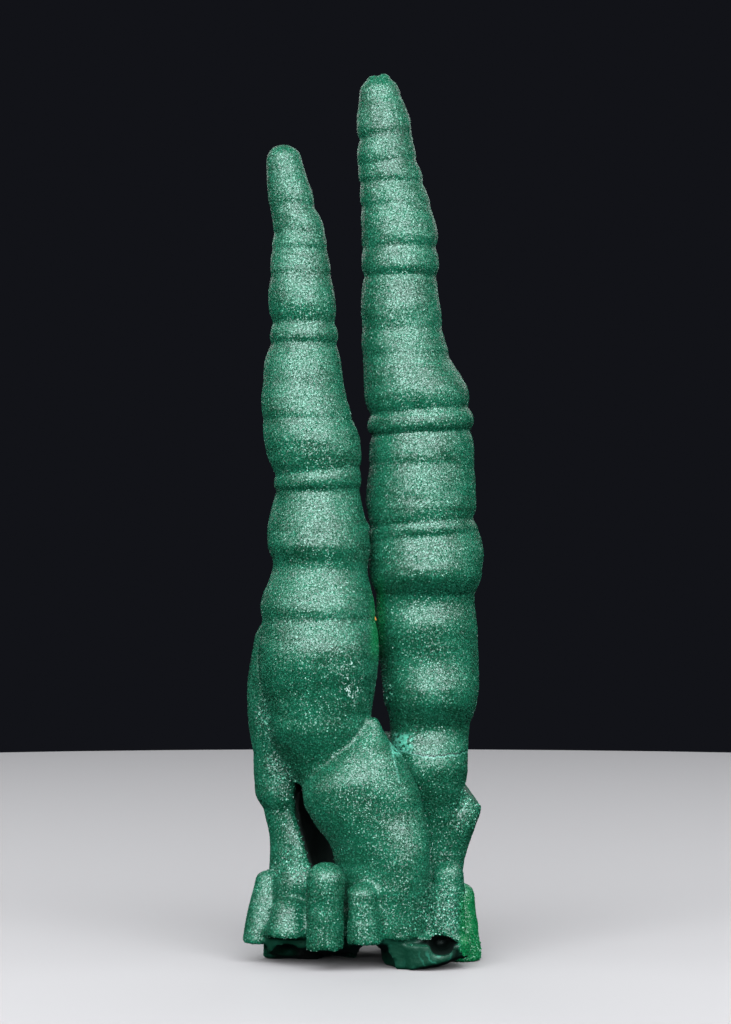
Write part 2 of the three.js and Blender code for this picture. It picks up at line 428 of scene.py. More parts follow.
@dataclass(frozen=True)
class Pocket:
    """A rounded pit: its middle, its three half sizes, and how much its wall wanders.

    Its edge is rounded as far as it is worn.
    """

    at: Place
    reach: Place
    roughness: float = 0.2
    seed: int = 5
    worn: float = 0.05
    span: float = 2.2

    def distance(self, points: Array) -> Array:
        """Signed distance to the pit, negative inside it, at N by 3 places."""
        offset = (points - np.array(self.at)) / np.array(self.reach)
        round_part = (np.linalg.norm(offset, axis=1) - 1.0) * min(self.reach)
        return round_part + self.roughness * lattice_noise(points, self.span, self.seed)


@dataclass(frozen=True)
class Patch:
    """A soft-edged ball on the surface, full up to the solid share of its ragged reach."""

    at: Place
    reach: float
    ragged: float = 0.35
    span: float = 3.0
    seed: int = 77
    solid: float = 0.6

    def cover(self, points: Array) -> Array:
        """How far each of N by 3 places belongs to the patch, from 0 to 1."""
        ragged = 1.0 + self.ragged * lattice_noise(points, self.span, self.seed)
        apart = np.linalg.norm(points - np.array(self.at), axis=1) / self.reach * ragged
        return smoothstep(1.0, self.solid, apart)


# ---- The cluster ----

TALL_FINGER = Column(
    top=176.4,
    fillet=0.5,
    course=(
        (-3, 12, 5, 7.5), (12, 12.4, 5.8, 7.3), (20, 12.6, 6, 7.2), (28, 12.8, 4.8, 7.2),
        (34, 12.8, 2.4, 7.3), (38, 13, 1.4, 7.6), (42, 13.2, 2, 7.8), (46, 13.4, 3.1, 8.1),
        (51.5, 13.5, 1.4, 8.9), (60, 13, 2.6, 9.5), (67, 12.5, 1.8, 10), (71.5, 12.4, 2.3, 10.2),
        (76.5, 12.4, 0.5, 10.7), (81, 12.5, 1.3, 11.1), (84.5, 12.2, 1.9, 10.9), (87, 11.6, 1.2, 10.5),
        (90, 11.4, 1.4, 10.6), (94, 11.5, 1.7, 10.6), (102, 11.6, 2, 10.2), (114, 10.4, 2, 10),
        (121, 8.3, 2.5, 8.5), (130, 7.4, 2.5, 7.7), (146, 7.1, 3, 7.3), (154, 5.8, 3.5, 6.3),
        (162, 4.5, 3.5, 5.6), (168, 3.9, 3.5, 5.0), (172.5, 3.1, 3.5, 3.9),
    ),
    grooves=(
        Groove(47, 0.6), Groove(73, 0.9), Groove(84.6, 0.22, 0.11), Groove(87, 0.6, 0.07),
        Groove(98.8, 0.3), Groove(105, 0.9, 0.05), Groove(109.3, 1.0, 0.08), Groove(120.3, 0.3),
        Groove(125.5, 0.3), Groove(136.4, 0.7), Groove(142.0, 0.55, 0.0, 0.4), Groove(150.3, 0.3),
        Groove(155, 0.45), Groove(158.8, 0.3, 0.12, 0.4), Groove(164.3, 0.5, 0.15, -0.6),
    ),
)

SHORT_FINGER = Column(
    top=162.0,
    fillet=0.5,
    course=(
        (34, -6.5, -3.2, 5.6), (38, -7.6, -3.2, 7.1), (42, -8.2, -3.5, 8.6), (46.5, -8.7, -4.6, 9.9),
        (50, -8.7, -5, 10.1), (54, -8.9, -5.1, 10.8), (58, -9, -5.8, 11.4), (62, -8.9, -6, 11.6),
        (66, -8.8, -5.4, 11.5), (72, -9.1, -4.8, 10.8), (76.5, -8.8, -4.1, 9.6), (79.4, -8.5, -4, 9.3),
        (82, -8.8, -4.2, 9.8), (86, -9, -3.8, 9.6), (92.5, -9, -3.5, 8.6), (96.5, -9.1, -4.2, 8.3),
        (99.5, -9.5, -3.9, 8.9), (103, -10.1, -4, 9.1), (112, -11.7, -3.5, 8), (119, -12, -3, 7.2),
        (125, -11.8, -3, 6.4), (132, -12.3, -3, 6.4), (139, -12.6, -2.5, 5.7), (146, -12.9, -2.5, 4.9),
        (153, -14.6, -2.5, 4.1), (158.5, -15.7, -2.5, 3.4),
    ),
    grooves=(
        Groove(49, 0.25), Groove(68.1, 0.6), Groove(77.7, 0.35), Groove(93.6, 0.6, 0.02),
        Groove(97.2, 0.5, 0.1), Groove(107.5, 0.45), Groove(115, 0.15), Groove(122.6, 0.6),
        Groove(126.6, 0.6), Groove(136, 0.3), Groove(141.3, 0.25), Groove(144.2, 0.2, 0.0, -0.7),
        Groove(149.6, 0.4, 0.0, 0.8),
    ),
)

TRUNK = Column(
    top=48.8,
    fillet=1.4,
    course=(
        (-3, 5.2, -6.8, 8.8), (5, 4.8, -6.9, 8.4), (10, 4.2, -7, 8.2), (15, 3.8, -6.8, 8.4),
        (20, 3.4, -6.4, 8.6), (24, 2.3, -6.4, 9.3), (28, 0.4, -6.3, 10.2), (31, -0.8, -6.3, 10.7),
        (34, -1.3, -6.7, 10.6), (36.5, -1.1, -7.7, 9.7), (40, -0.1, -8.6, 7.2), (44, 0.9, -8.9, 3.9),
        (47.3, 1.8, -8.8, 1.3),
    ),
)

TRUNK_RIDGE = Column(
    top=42.5,
    fillet=3.0,
    course=(
        (-3, 7.3, -9.4, 4.6), (6, 7.3, -9.7, 4.8), (12, 7.3, -10.4, 5), (17, 7.3, -11.2, 5.2),
        (22, 7.4, -11.3, 5.4), (26, 7.1, -10.8, 5.5), (30, 6.1, -9.8, 5.6), (34, 4.6, -10, 5.8),
        (39, 2.6, -9.2, 4.6),
    ),
)

SIDE_COLUMN = Column(
    top=68.5,
    fillet=0.8,
    course=(
        (-3, -14, 3, 6), (14, -13.8, 3, 5.4), (24, -14.2, 3, 4.9), (31, -15.8, 3.4, 5.3),
        (36, -16.2, 4, 5.5), (48, -16.9, 4, 6), (58, -16.8, 3.6, 5.8), (63, -16.6, 3, 5.1),
    ),
    grooves=(Groove(30, 1.0), Groove(41, 0.5)),
)

BACK_COLUMN = Column(
    top=45.0,
    course=((-3, 3, 9, 8.5), (12, 3, 9, 8.2), (24, 3.5, 8.5, 7.6), (38, 4.2, 7.5, 6.8)),
    grooves=(Groove(17, 0.6), Groove(29, 0.5, 0.04)),
)

BACK_LEFT_COLUMN = Column(
    top=34.0,
    course=((-3, -11, 11, 7.4), (12, -11, 11, 6.8), (27, -11.3, 10.5, 6.3)),
    grooves=(Groove(9, 0.5), Groove(20, 0.5, 0.05)),
)

BACK_RIGHT_COLUMN = Column(
    top=28.0,
    course=((-3, 13.5, 12, 7), (10, 13.6, 12, 6.6), (22, 14, 11.5, 5.8)),
    grooves=(Groove(7, 0.4), Groove(16, 0.5, -0.04)),
)

RIDGE = Column(
    top=35.5,
    course=((14, 16, 2.5, 3), (22, 17.2, 3.5, 3.6), (29, 19.2, 4, 4.6), (33, 19, 4, 3)),
)

# Low solid stone that backs the stubs and carries the foot.
LEFT_BASE = Column(top=9.0, course=((-3, -14, -4.5, 6.6), (6, -14, -4.5, 6)))
LEFT_APRON = Column(
    top=26.0,
    fillet=1.6,
    course=((-3, -13, -1.2, 5.2), (10, -12.8, -1.2, 5.3), (17, -12.5, -1.6, 5.3), (22.5, -12, 0.4, 3.6)),
)
MIDDLE_BASE = Column(top=13.0, course=((-3, -7.5, -7, 6.4), (9, -7.5, -7, 5)))
RIGHT_BASE = Column(top=6.6, fillet=0.6, course=((-3, 12.9, -10.7, 7.6), (5, 13.1, -10.6, 7.4)))

LEFT_OUTER_STUB = Stub(
    at=(-19, -0.5), top=18.2, shoulder=2.6, foot=3.7, base=3.9, fillet=0.4, lean=(1.8, 3.4),
)
LEFT_LOW_STUB = Stub(
    at=(-14.5, -7.3), top=13.2, shoulder=3.5, foot=4.5, base=5.8, fillet=0.8, lean=(0, 1.3), crown=0.8,
)
FRONT_LEFT_STUB = Stub(at=(-7.2, -15), top=21, shoulder=3.6, foot=3.4, base=4.3, lean=(0.4, 0))
FRONT_STUB = Stub(at=(-0.3, -15.4), top=17.2, shoulder=3.0, foot=3.4, base=5.3, lean=(-0.7, 0), crown=0.85)
RIGHT_STUB = Stub(at=(16.6, -10), top=20.8, shoulder=2.8, foot=4.0, base=5.6, fillet=0.8, lean=(1.0, 0.4))
RIGHT_OUTER_STUB = Stub(at=(19.6, 0), top=15.5, shoulder=2.4, foot=4.2, base=-3, fillet=1.6)

NUBS = (
    Nub(at=(4.2, 3.0, 176.15), radius=0.85),
    Nub(at=(1.7, 3.2, 175.7), radius=0.9),
    Nub(at=(0.3, -4.5, 86.2), radius=1.0),
)

# The left underside, the right foot's outer corner, and the two facets of the ridge's broken edge.
BREAKS = (
    Break(at=(-13, -11, 4.2), azimuth=0, dip=71, reach=18, roughness=0.35, seed=11),
    Break(at=(9.5, -15, 0), azimuth=60, dip=72, reach=13, roughness=0.5, seed=21),
    Break(at=(22.3, 4, 31.6), azimuth=78, dip=-38, reach=5, roughness=0.2, seed=31),
    Break(at=(22.7, 4, 27.4), azimuth=80, dip=18, reach=5, roughness=0.2, seed=33),
)
BARE_FOOT = BareFoot(lip=7.2, ragged=0.45, depth=0.5, undercut=0.25, back=(4.0, -3.0), right=(20.0, 18.0))
POCKETS = (
    Pocket(at=(1.2, 0, 0), reach=(2.5, 60, 5.4)),
    Pocket(at=(3.6, -20, -1.5), reach=(3.2, 14, 6.2), seed=6),
    Pocket(at=(15.2, -14.5, 4.9), reach=(2.5, 6, 2.0), seed=7),
    Pocket(at=(-15, -8, 1.4), reach=(3.2, 7, 3.2), seed=9),
    Pocket(at=(-12.6, 0, 32.5), reach=(1.0, 6, 3.4), seed=12, worn=1.2),
    Pocket(at=(-10.6, 2, 28), reach=(1.7, 9, 4.6), seed=13, worn=1.6),
    Pocket(at=(-8.2, 1.5, 22.2), reach=(2.6, 10.5, 5.2), seed=14, worn=1.8),
    Pocket(at=(-3.35, -15.5, 13), reach=(0.45, 4, 8), roughness=0.08, seed=8),
)

# Where the crystals are coarser and sparkle more.
COARSE_PATCHES = (
    Patch(at=(-15, -2, 37), reach=5),
    Patch(at=(-17.5, -2, 48), reach=6),
    Patch(at=(-12, -3, 19), reach=6.5),
    Patch(at=(15.5, -12, 12), reach=6.5),
    Patch(at=(19.5, 1, 30.5), reach=4.5),
    Patch(at=(3.4, -1, 53), reach=4),
    Patch(at=(22, -3, 2), reach=4.5),
    Patch(at=(11.5, -19, 6), reach=4),
)

# What each zone's crystals grow on. The body is broken first, and then the stubs stand out from it.
BODY_GROWTHS: tuple[tuple[Column, Zone], ...] = (
    (SHORT_FINGER, Zone.SHORT_UPPER),
    (TRUNK, Zone.TRUNK),
    (TRUNK_RIDGE, Zone.TRUNK),
    (TALL_FINGER, Zone.TALL_UPPER),
    (SIDE_COLUMN, Zone.SIDE),
    (BACK_COLUMN, Zone.BACK),
    (BACK_LEFT_COLUMN, Zone.BACK),
    (BACK_RIGHT_COLUMN, Zone.BACK),
    (RIDGE, Zone.SIDE),
    (LEFT_BASE, Zone.FRONT_STUBS),
    (LEFT_APRON, Zone.SIDE),
    (MIDDLE_BASE, Zone.FRONT_STUBS),
    (RIGHT_BASE, Zone.FRONT_STUBS),
)
STUBS: tuple[tuple[Stub, Zone], ...] = (
    (LEFT_OUTER_STUB, Zone.SIDE),
    (LEFT_LOW_STUB, Zone.FRONT_STUBS),
    (FRONT_LEFT_STUB, Zone.FRONT_STUBS),
    (FRONT_STUB, Zone.FRONT_STUBS),
    (RIGHT_STUB, Zone.FRONT_STUBS),
    (RIGHT_OUTER_STUB, Zone.SIDE),
)

# Every growth, with the stubs written as columns.
GROWTHS = (*BODY_GROWTHS, *((stub.column(), zone) for stub, zone in STUBS))

# The two fingers' crystals are split at these heights, to keep each piece small.
SPLITS = (
    (Zone.TALL_UPPER, Zone.TALL_LOWER, 90.0),
    (Zone.SHORT_UPPER, Zone.SHORT_LOWER, 82.0),
)


# ---- The stone ----


@dataclass
class Stone:
    """The whole cluster as one closed skin, and the measures stored on it."""

    across: float = 0.66
    upward: float = 0.48
    margin: float = 3.0
    room: Place = (28.0, 25.0, DRAWN_HEIGHT)
    foot_top: float = 9.0
    carve_top: float = 38.0
    broken_depth: tuple[float, float] = (0.12, 0.45)
    lowest_crystal: float = 0.4
    wave_seed: int = 40
    sharp_angle: float = 50.0
    waves: tuple[tuple[Place, float], ...] = (
        ((9.0, 9.0, 9.0), 0.24),
        ((3.6, 3.6, 2.6), 0.09),
        ((11.0, 11.0, 1.5), 0.05),
        ((1.5, 1.5, 1.3), 0.035),
    )

    def __post_init__(self) -> None:
        """Lays out the grid that the growths are measured on."""
        self.step = np.array([self.across, self.across, self.upward])
        self.start = np.array([-self.room[0], -self.room[1], -2.0 * self.upward])
        counts = np.ceil((np.array(self.room) - self.start + self.margin) / self.step).astype(int)
        self.axes = [self.start[k] + self.step[k] * np.arange(counts[k]) for k in range(3)]

    def joined(self, places: Grid, columns: list[Column], bases: list[float],
               onto: Array | None = None) -> Array:
        """Some growths joined as one distance field.

        Args:
            places: The x and y of every place, in shapes that broadcast with z, and z, a flat array.
            columns: The growths, in the order that they are joined.
            bases: The height under which each growth is missing.
            onto: A field that they are joined to.

        Returns:
            The distance at every place, no more than the margin.
        """
        x, y, z = places
        shape = np.broadcast_shapes(x.shape, y.shape, z.shape)
        result = np.full(shape, self.margin) if onto is None else onto.copy()
        for column, base in zip(columns, bases):
            rows = np.flatnonzero((z >= base - self.margin) & (z <= column.top + self.margin))
            part = column.distance(rows_of(x, rows), rows_of(y, rows), z[rows])
            part = np.maximum(part, base - z[rows])
            result[..., rows] = soft_union(result[..., rows], part, column.fillet)
        return result

    def unbroken(self, places: Grid, growths: tuple[tuple[Column, Zone], ...]) -> Array:
        """Some growths joined from their roots up, with the small bumps on them, as a field."""
        columns = [column for column, _ in growths]
        result = self.joined(places, columns, [column.course[0][0] for column in columns])
        for nub in NUBS:
            result = soft_union(result, nub.distance(*places), nub.fillet)
        return result

    def carve(self, solid: Array, tool: Callable[[Array, Array], Array],
              below: float, worn: float = 0.05) -> None:
        """Takes a tool's shape away from the solid, up to a height.

        Args:
            solid: The field to change.
            tool: Gives the distance to what is gone, from places and the solid's own distances there.
            below: Nothing over this height is touched.
            worn: How far the edge that this leaves is rounded.
        """
        low = self.axes[2] < below
        grid = np.meshgrid(self.axes[0], self.axes[1], self.axes[2][low], indexing="ij")
        points = np.stack(grid, axis=-1).reshape(-1, 3)
        part = solid[..., low]
        gone = tool(points, part.reshape(-1)).reshape(part.shape)
        solid[..., low] = -soft_union(-part, gone, worn)

    def solid(self) -> Array:
        """The finished cluster as a distance field on the grid."""
        places = (self.axes[0][:, None, None], self.axes[1][None, :, None], self.axes[2])
        solid = self.unbroken(places, BODY_GROWTHS)
        self.carve(solid, BARE_FOOT.distance, self.foot_top)
        for tool in BREAKS:
            self.carve(solid, lambda points, _: tool.distance(points), self.carve_top)
        stubs = [stub for stub, _ in STUBS]
        solid = self.joined(places, [s.column() for s in stubs], [s.base for s in stubs], solid)
        for tool in POCKETS:
            self.carve(solid, lambda points, _: tool.distance(points), self.carve_top, tool.worn)
        return np.maximum(solid, -self.axes[2])

    def build(self) -> bpy.types.Object:
        """Makes the stone's mesh in the frame, with its masks.

        Returns:
            The stone.
        """
        solid = self.solid()
        grid = openvdb.FloatGrid(self.margin)
        grid.copyFromArray(np.clip(solid, -self.margin, self.margin).astype(np.float32))
        points, quads = outer_skin(*grid.convertToQuads(isovalue=0.0))
        points = points * self.step + self.start
        mesh = bpy.data.meshes.new("stone")
        mesh.from_pydata(points.tolist(), [], quads.tolist())
        mesh.update()
        normals = np.empty(3 * len(points))
        mesh.vertices.foreach_get("normal", normals)
        depth = self.unbroken(tuple(points.T), GROWTHS)
        broken = smoothstep(-self.broken_depth[0], -self.broken_depth[1], depth)
        lift = sum(
            size * lattice_noise(points, span, self.wave_seed + k)
            for k, (span, size) in enumerate(self.waves)
        )
        lift *= smoothstep(0.0, 1.0, points[:, 2]) * (1.0 - broken)
        moved = to_frame(points + normals.reshape(-1, 3) * lift[:, None])
        self.store_masks(mesh, points, broken)
        mesh.vertices.foreach_set("co", moved.astype(np.float32).ravel())
        mesh.polygons.foreach_set("use_smooth", np.ones(len(mesh.polygons), dtype=bool))
        mesh.set_sharp_from_angle(angle=math.radians(self.sharp_angle))
        mesh.update()
        return add_object("malachite_stone", mesh)

    def store_masks(self, mesh: bpy.types.Mesh, points: Array, broken: Array) -> None:
        """Stores each measure, and where each zone's fine crystals grow, on the mesh.

        Args:
            mesh: The stone's mesh.
            points: Its vertices, in drawn millimetres.
            broken: How far each vertex is on a broken face, from 0 to 1.
        """
        x, y, z = points.T
        owner = np.argmin([column.distance(x, y, z) for column, _ in GROWTHS], axis=0)
        # Nearness to the bottoms of deep grooves, where the stone's colour is painted darker as shade.
        furrow_shade = np.zeros(len(points))
        for k, (column, _) in enumerate(GROWTHS):
            mine = owner == k
            furrow_shade[mine] = column.furrow_shade(x[mine], z[mine])
        bare = (1.0 - broken) * (z > self.lowest_crystal)
        coarse = np.max([patch.cover(points) for patch in COARSE_PATCHES], axis=0) * bare
        masks = {Mask.BROKEN.value: broken, Mask.COARSE.value: coarse, Mask.FURROW_SHADE.value: furrow_shade}
        zones = np.array([zone.value for _, zone in GROWTHS])[owner]
        for upper, lower, height in SPLITS:
            zones[(zones == upper.value) & (z < height)] = lower.value
        for zone in Zone:
            masks[zone.value] = (zones == zone.value) * bare
        for name, values in masks.items():
            layer = mesh.attributes.new(name, "FLOAT", "POINT")
            layer.data.foreach_set("value", values.astype(np.float32))


# ---- The crystals ----


@dataclass
class CrystalScatter:
    """Small flat-ended crystals scattered over the stone, one piece for each zone.

    Each is a three-sided wedge whose point is buried and whose flat end stands just proud of the
    skin. Sizes are in drawn millimetres, and the density is crystals to the square millimetre.
    """

    density: float
    width: float
    length: float
    lean: float
    proud: float
    seed: int = 3

    SIZES = (0.65, 1.35)
    INPUTS = (
        ("Stone", "Geometry"), ("Mask", "String"), ("Density", "Float"), ("Width", "Float"),
        ("Length", "Float"), ("Proud", "Float"), ("Lean", "Float"), ("Seed", "Int"), ("Finish", "Material"),
    )

    @classmethod
    @cache
    def tree(cls) -> bpy.types.NodeTree:
        """Builds the scatter's nodes once for all pieces."""
        tree = bpy.data.node_groups.new("crystal_scatter", "GeometryNodeTree")
        for socket, kind in cls.INPUTS:
            tree.interface.new_socket(socket, in_out="INPUT", socket_type="NodeSocket" + kind)
        tree.interface.new_socket("Crystals", in_out="OUTPUT", socket_type="NodeSocketGeometry")
        n = Nodes(tree)
        given = n.add("NodeGroupInput").outputs
        seeds = [n.sum_of(given["Seed"], k) for k in range(4)]

        mask = n.add("GeometryNodeInputNamedAttribute", data_type="FLOAT", Name=given["Mask"])
        density = n.product(given["Density"], mask.outputs[0])
        points = n.add("GeometryNodeDistributePointsOnFaces", distribute_method="RANDOM")
        n.feed(points, Mesh=given["Stone"], Density=density, Seed=seeds[0])

        cone = n.add("GeometryNodeMeshCone", fill_type="NGON")
        n.feed(cone, Vertices=3, Radius_Top=0.5, Radius_Bottom=0.0, Depth=1.0)
        down = n.add("ShaderNodeCombineXYZ", Z=n.math("SUBTRACT", given["Proud"], 1.0)).outputs[0]
        planted = n.add("GeometryNodeTransform", Geometry=cone.outputs[0], Translation=down)

        chance = n.random("FLOAT_VECTOR", (-1.0, -1.0, -1.0), (1.0, 1.0, 1.0), seeds[1])
        cubed = n.vector("MULTIPLY", chance, n.vector("MULTIPLY", chance, chance))
        reach = n.add("ShaderNodeCombineXYZ", X=given["Lean"], Y=given["Lean"])
        spin = n.vector("MULTIPLY", chance, (0.0, 0.0, math.pi))
        tips = n.vector("ADD", n.vector("MULTIPLY", cubed, reach.outputs[0]), spin)
        euler = n.add("FunctionNodeEulerToRotation", Euler=tips)
        turned = n.add("FunctionNodeRotateRotation", rotation_space="LOCAL")
        n.feed(turned, Rotation=points.outputs["Rotation"], Rotate_By=euler.outputs[0])

        size = n.random("FLOAT", *cls.SIZES, seeds[2])
        wide, tall = n.product(given["Width"], size), n.product(given["Length"], size)
        scale = n.add("ShaderNodeCombineXYZ", X=wide, Y=wide, Z=tall)
        placed = n.add("GeometryNodeInstanceOnPoints", Points=points.outputs["Points"])
        n.feed(placed, Instance=planted.outputs[0], Rotation=turned.outputs[0], Scale=scale.outputs[0])

        tone = n.add("GeometryNodeStoreNamedAttribute", data_type="FLOAT", domain="INSTANCE", Name="tone")
        n.feed(tone, Geometry=placed.outputs[0], Value=n.random("FLOAT", 0.0, 1.0, seeds[3]))
        real = n.add("GeometryNodeRealizeInstances", Geometry=tone.outputs[0])
        flat = n.add("GeometryNodeSetShadeSmooth", Geometry=real.outputs[0], Shade_Smooth=False)
        dressed = n.add("GeometryNodeSetMaterial", Geometry=flat.outputs[0], Material=given["Finish"])
        n.add("NodeGroupOutput", Crystals=dressed.outputs[0])
        return tree

    def build(self, stone: bpy.types.Object, mask: str, finish: bpy.types.Material) -> bpy.types.Object:
        """Grows the crystals where a mask on the stone says.

        Args:
            stone: The stone they grow on.
            mask: The measure on the stone that their density follows, and the piece's name.
            finish: Their material.

        Returns:
            The crystals as one plain mesh.
        """
        tree = self.tree()
        grower = add_object(mask, stone.data)
        modifier = grower.modifiers.new("crystals", "NODES")
        modifier.node_group = tree
        values = {
            "Mask": mask,
            "Density": self.density / UNIT**2,
            "Width": self.width * UNIT,
            "Length": self.length * UNIT,
            "Proud": self.proud,
            "Lean": self.lean,
            "Seed": self.seed,
            "Finish": finish,
        }
        for item in tree.interface.items_tree:
            if item.in_out == "INPUT" and item.name in values:
                modifier[item.identifier] = values[item.name]
        depsgraph = bpy.context.evaluated_depsgraph_get()
        mesh = bpy.data.meshes.new_from_object(grower.evaluated_get(depsgraph), depsgraph=depsgraph)
        grower.modifiers.remove(modifier)
        grower.data = mesh
        mesh.name = mask
        for layer in [a.name for a in mesh.attributes if a.name in {m.value for m in (*Mask, *Zone)}]:
            mesh.attributes.remove(mesh.attributes[layer])
        return grower


# ---- Finishes ----


def opaque(colour: Colour) -> tuple[float, float, float, float]:
    """A colour with full alpha."""
    return (*colour, 1.0)


class Nodes:
    """A short way to add nodes to a tree and join them."""

    def __init__(self, tree: bpy.types.NodeTree) -> None:
        """Keeps the tree."""
        self.tree = tree

    def add(self, kind: str, **values: object) -> bpy.types.Node:
        """Adds a node, sets its own settings, and sets or links its inputs.

        Args:
            kind: The node's type name.
            values: Settings have names in small letters. An input is named with a capital and
                underscores for spaces, or by an underscore and its number, and takes a socket or a
                constant.

        Returns:
            The node.
        """
        node = self.tree.nodes.new(kind)
        for name in [name for name in values if name[0].islower()]:
            setattr(node, name, values.pop(name))
        return self.feed(node, **values)

    def feed(self, node: bpy.types.Node, **values: object) -> bpy.types.Node:
        """Sets or links more of a node's inputs, named as for add.

        Args:
            node: The node.
            values: A socket or a constant for each input.

        Returns:
            The same node.
        """
        for name, value in values.items():
            socket = node.inputs[int(name[1:]) if name[0] == "_" else name.replace("_", " ")]
            if isinstance(value, Socket):
                self.tree.links.new(value, socket)
            else:
                socket.default_value = opaque(value) if socket.type == "RGBA" else value
        return node

    def math(self, operation: str, a: object, b: object = 0.0) -> Socket:
        """The result of a math node."""
        return self.add("ShaderNodeMath", operation=operation, _0=a, _1=b).outputs[0]

    def product(self, *values: object) -> Socket:
        """The product of some values."""
        result = values[0]
        for value in values[1:]:
            result = self.math("MULTIPLY", result, value)
        return result

    def group(self, tree: bpy.types.NodeTree, **inputs: object) -> bpy.types.NodeOutputs:
        """Places a shader node group with its own values, and gives its outputs."""
        return self.add("ShaderNodeGroup", node_tree=tree, **inputs).outputs

    def measure(self, name: str) -> Socket:
        """A measure stored on the surface."""
        return self.add("ShaderNodeAttribute", attribute_name=name).outputs["Fac"]

    def sum_of(self, a: object, b: int) -> Socket:
        """The sum of two whole numbers."""
        return self.add("FunctionNodeIntegerMath", operation="ADD", _0=a, _1=b).outputs[0]

    def random(self, kind: str, low: object, high: object, seed: object) -> Socket:
        """A random number or vector for each crystal."""
        node = self.add("FunctionNodeRandomValue", data_type=kind)
        first = 0 if kind == "FLOAT_VECTOR" else 2
        self.feed(node, **{f"_{first}": low, f"_{first + 1}": high, "Seed": seed})
        return node.outputs[0] if kind == "FLOAT_VECTOR" else node.outputs[1]

    def vector(self, operation: str, a: object, b: object = (0.0, 0.0, 0.0)) -> Socket:
        """The vector result of a vector math node."""
        return self.add("ShaderNodeVectorMath", operation=operation, _0=a, _1=b).outputs[0]

    def scaled(self, a: object, factor: object) -> Socket:
        """A vector times a number."""
        return self.add("ShaderNodeVectorMath", operation="SCALE", _0=a, Scale=factor).outputs[0]

    def parts(self, a: object) -> bpy.types.NodeOutputs:
        """The x, y and z of a vector."""
        return self.add("ShaderNodeSeparateXYZ", Vector=a).outputs

    def bump(self, height: object, strength: float, distance: float) -> Socket:
        """A normal that follows a height, with its distance in drawn millimetres."""
        node = self.add("ShaderNodeBump", Height=height, Strength=strength, Distance=distance * UNIT)
        return node.outputs[0]

    def mix(self, factor: object, a: object, b: object) -> Socket:
        """A blend of two colours."""
        return self.add("ShaderNodeMix", data_type="RGBA", _0=factor, _6=a, _7=b).outputs[2]

    def ramp(self, value: object, span: tuple[float, float], out: tuple[float, float] = (0.0, 1.0)
             ) -> Socket:
        """A value moved smoothly from one span to another."""
        node = self.add("ShaderNodeMapRange", interpolation_type="SMOOTHSTEP")
        return self.feed(node, _0=value, _1=span[0], _2=span[1], _3=out[0], _4=out[1]).outputs[0]

    def band(self, value: object, middle: object, half: float, soft: float) -> Socket:
        """1 where a value is near the middle, falling to 0 past half a width."""
        apart = self.math("ABSOLUTE", self.math("SUBTRACT", value, middle))
        return self.ramp(apart, (half + soft, half - soft))

    def drawn_place(self) -> Socket:
        """The place on the object in drawn millimetres."""
        here = self.vector("SUBTRACT", self.add("ShaderNodeTexCoord").outputs["Object"], tuple(ORIGIN))
        return self.scaled(here, 1.0 / UNIT)

    def noise(self, place: object, size: float, detail: float = 2.0) -> Socket:
        """Smooth noise from 0 to 1, with blotches of about the given size in millimetres."""
        node = self.add("ShaderNodeTexNoise", Vector=place, Scale=1.0 / size, Detail=detail, Roughness=0.55)
        return node.outputs[0]


def new_group(name: str, inputs: dict[str, object], outputs: dict[str, str]) -> tuple[Nodes, object]:
    """Starts a shader node group.

    Args:
        name: The group's name.
        inputs: For each input, a default: a number or a colour.
        outputs: For each output, the kind of its socket.

    Returns:
        The group's nodes and its input sockets.
    """
    tree = bpy.data.node_groups.new(name, "ShaderNodeTree")
    for socket, value in inputs.items():
        kind, start = ("Float", value) if isinstance(value, float) else ("Color", opaque(value))
        made = tree.interface.new_socket(socket, in_out="INPUT", socket_type="NodeSocket" + kind)
        made.default_value = start
    for socket, kind in outputs.items():
        tree.interface.new_socket(socket, in_out="OUTPUT", socket_type="NodeSocket" + kind)
    n = Nodes(tree)
    return n, n.add("NodeGroupInput").outputs


@cache
def growth_tone_group() -> bpy.types.NodeTree:
    """The green of the crystal skin, which drifts in clouds and thin rings of growth.

    Returns:
        The group, which puts out the colour.
    """
    greens = {"Deep": (0.01, 0.1, 0.05), "Main": (0.02, 0.2, 0.1)}
    n, given = new_group("growth_tone", greens, {"Colour": "Color"})
    place = n.drawn_place()
    clouds = n.noise(place, 6.0, 3.0)
    rings = n.noise(n.vector("MULTIPLY", place, (0.06, 0.06, 0.8)), 1.0, 2.0)
    amount = n.math("ADD", n.product(clouds, 0.65), n.product(rings, 0.35))
    n.add("NodeGroupOutput", Colour=n.mix(n.ramp(amount, (0.36, 0.62)), given["Deep"], given["Main"]))
    return n.tree


